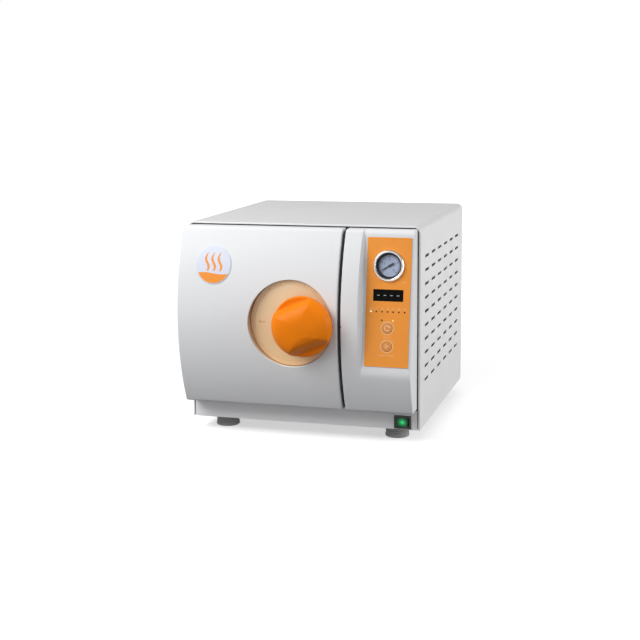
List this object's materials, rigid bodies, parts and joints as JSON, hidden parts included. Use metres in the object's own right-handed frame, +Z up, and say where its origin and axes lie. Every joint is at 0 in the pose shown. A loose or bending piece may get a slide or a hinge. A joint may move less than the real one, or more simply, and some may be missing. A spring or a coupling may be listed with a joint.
{
  "type": "benchtop autoclave",
  "caption": "Front-loading benchtop steam steriliser with a bulged hinged door, rotary door lock, sloping control panel with gauge and keys, steel chamber with trays, and a vented cabinet.",
  "frame": {"origin": "on the surface the feet stand on, under the centre of the bounding box", "axes": "+Z up, -Y out of the front (door) side, +X to the right seen from the front"},
  "size_m": [0.45, 0.575, 0.4065],
  "materials": {
    "white_coat": "satin",
    "white_moulding": "satin",
    "orange_plastic": "gloss",
    "cream_plastic": "satin",
    "pale_print": "gloss",
    "bezel_metal": "polished",
    "lens_glass": "clear",
    "black_plastic": "matte",
    "black_window": "gloss",
    "green_lens": "gloss",
    "circuit_board": "satin",
    "grey_rubber": "matte",
    "grey_steel": "satin",
    "stainless": "brushed",
    "cast_metal": "cast",
    "aluminium": "satin",
    "brass": "satin",
    "copper": "satin",
    "heater_sheath": "heat tinted",
    "silicone": "matte",
    "insulation": "matte",
    "tank_plastic": "translucent"
  },
  "bodies": {
    "cabinet": {"base_pan": "white_coat", "cabinet_cover": "white_coat", "rear_panel": "white_coat", "front_frame": "grey_steel", "control_fascia": "white_moulding", "control_plate": "orange_plastic", "display_window": "black_window", "indicator_board": "circuit_board", "gauge_case": "bezel_metal", "gauge_dial": "pale_print", "gauge_lens": "lens_glass", "switch_bezel": "black_plastic", "foot_front_left": "grey_rubber", "foot_front_right": "grey_rubber", "foot_rear_left": "grey_rubber", "foot_rear_right": "grey_rubber", "chamber_vessel": "stainless", "door_gasket": "silicone", "heater_band": "heater_sheath", "insulation_jacket": "insulation", "chamber_cradle": "grey_steel", "tray_rack": "stainless", "tray_lower": "stainless", "tray_middle": "stainless", "tray_upper": "stainless", "hinge_bracket_lower": "stainless", "hinge_bracket_upper": "stainless", "hinge_pin": "stainless", "lock_keeper": "stainless", "water_tank": "tank_plastic", "water_pump": "black_plastic", "valve_block": "brass", "condenser_coil": "copper", "exhaust_pipe": "copper", "feed_pipe": "silicone", "gauge_line": "copper", "fan_housing": "black_plastic", "fan_grille": "stainless", "main_board": "circuit_board", "power_supply": "aluminium", "inlet_socket": "black_plastic", "safety_valve": "brass", "drain_fitting": "brass", "fill_fitting": "brass", "air_filter": "pale_print"},
    "door": {"door_cover": "white_moulding", "pressure_plate": "stainless", "door_bridge": "cast_metal", "door_dial": "cream_plastic", "door_badge": "pale_print"},
    "knob": {"knob": "orange_plastic", "knob_shaft": "stainless", "lock_pinion": "stainless"},
    "bolt": {"lock_bolt": "stainless"},
    "select_button": {"select_button": "orange_plastic"},
    "start_button": {"start_button": "orange_plastic"},
    "rocker": {"switch_rocker": "green_lens"},
    "needle": {"gauge_needle": "black_plastic"},
    "fan": {"fan_rotor": "black_plastic"},
    "pull_ring": {"valve_pull_ring": "stainless"}
  },
  "joints": [
    {"name": "door_hinge", "type": "hinge", "parent": "cabinet", "child": "door", "pos_m": [-0.213, -0.1935, 0.2285], "axis": [0, 0, -1], "range_deg": [0, 100]},
    {"name": "knob_turn", "type": "hinge", "parent": "door", "child": "knob", "pos_m": [0.024, -0.2575, 0.2285], "axis": [0, 1, 0], "range_deg": [0, 90]},
    {"name": "bolt_slide", "type": "slide", "parent": "door", "child": "bolt", "axis": [1, 0, 0], "range_m": [0, 0.0189]},
    {"name": "select_push", "type": "slide", "parent": "cabinet", "child": "select_button", "axis": [0, 0.9898, -0.1426], "range_m": [0, 0.001], "stiffness_N_per_m": 400},
    {"name": "start_push", "type": "slide", "parent": "cabinet", "child": "start_button", "axis": [0, 0.9898, -0.1426], "range_m": [0, 0.001], "stiffness_N_per_m": 400},
    {"name": "power_rock", "type": "hinge", "parent": "cabinet", "child": "rocker", "pos_m": [0.1925, -0.175, 0.04], "axis": [0, 0, 1], "range_deg": [0, 16]},
    {"name": "needle_sweep", "type": "hinge", "parent": "cabinet", "child": "needle", "pos_m": [0.1741, -0.2109, 0.33771], "axis": [0, 0.9898, -0.1426], "range_deg": [0, 240], "stiffness_Nm_per_rad": 0.001},
    {"name": "fan_spin", "type": "hinge", "parent": "cabinet", "child": "fan", "pos_m": [0.153, 0.2425, 0.1355], "axis": [0, 1, 0], "continuous": true},
    {"name": "relief_pull", "type": "slide", "parent": "cabinet", "child": "pull_ring", "axis": [0, 1, 0], "range_m": [0, 0.003], "stiffness_N_per_m": 1000}
  ],
  "couplings": [
    {"joint": "bolt_slide", "follows": "knob_turn", "m_per_rad": 0.012}
  ]
}
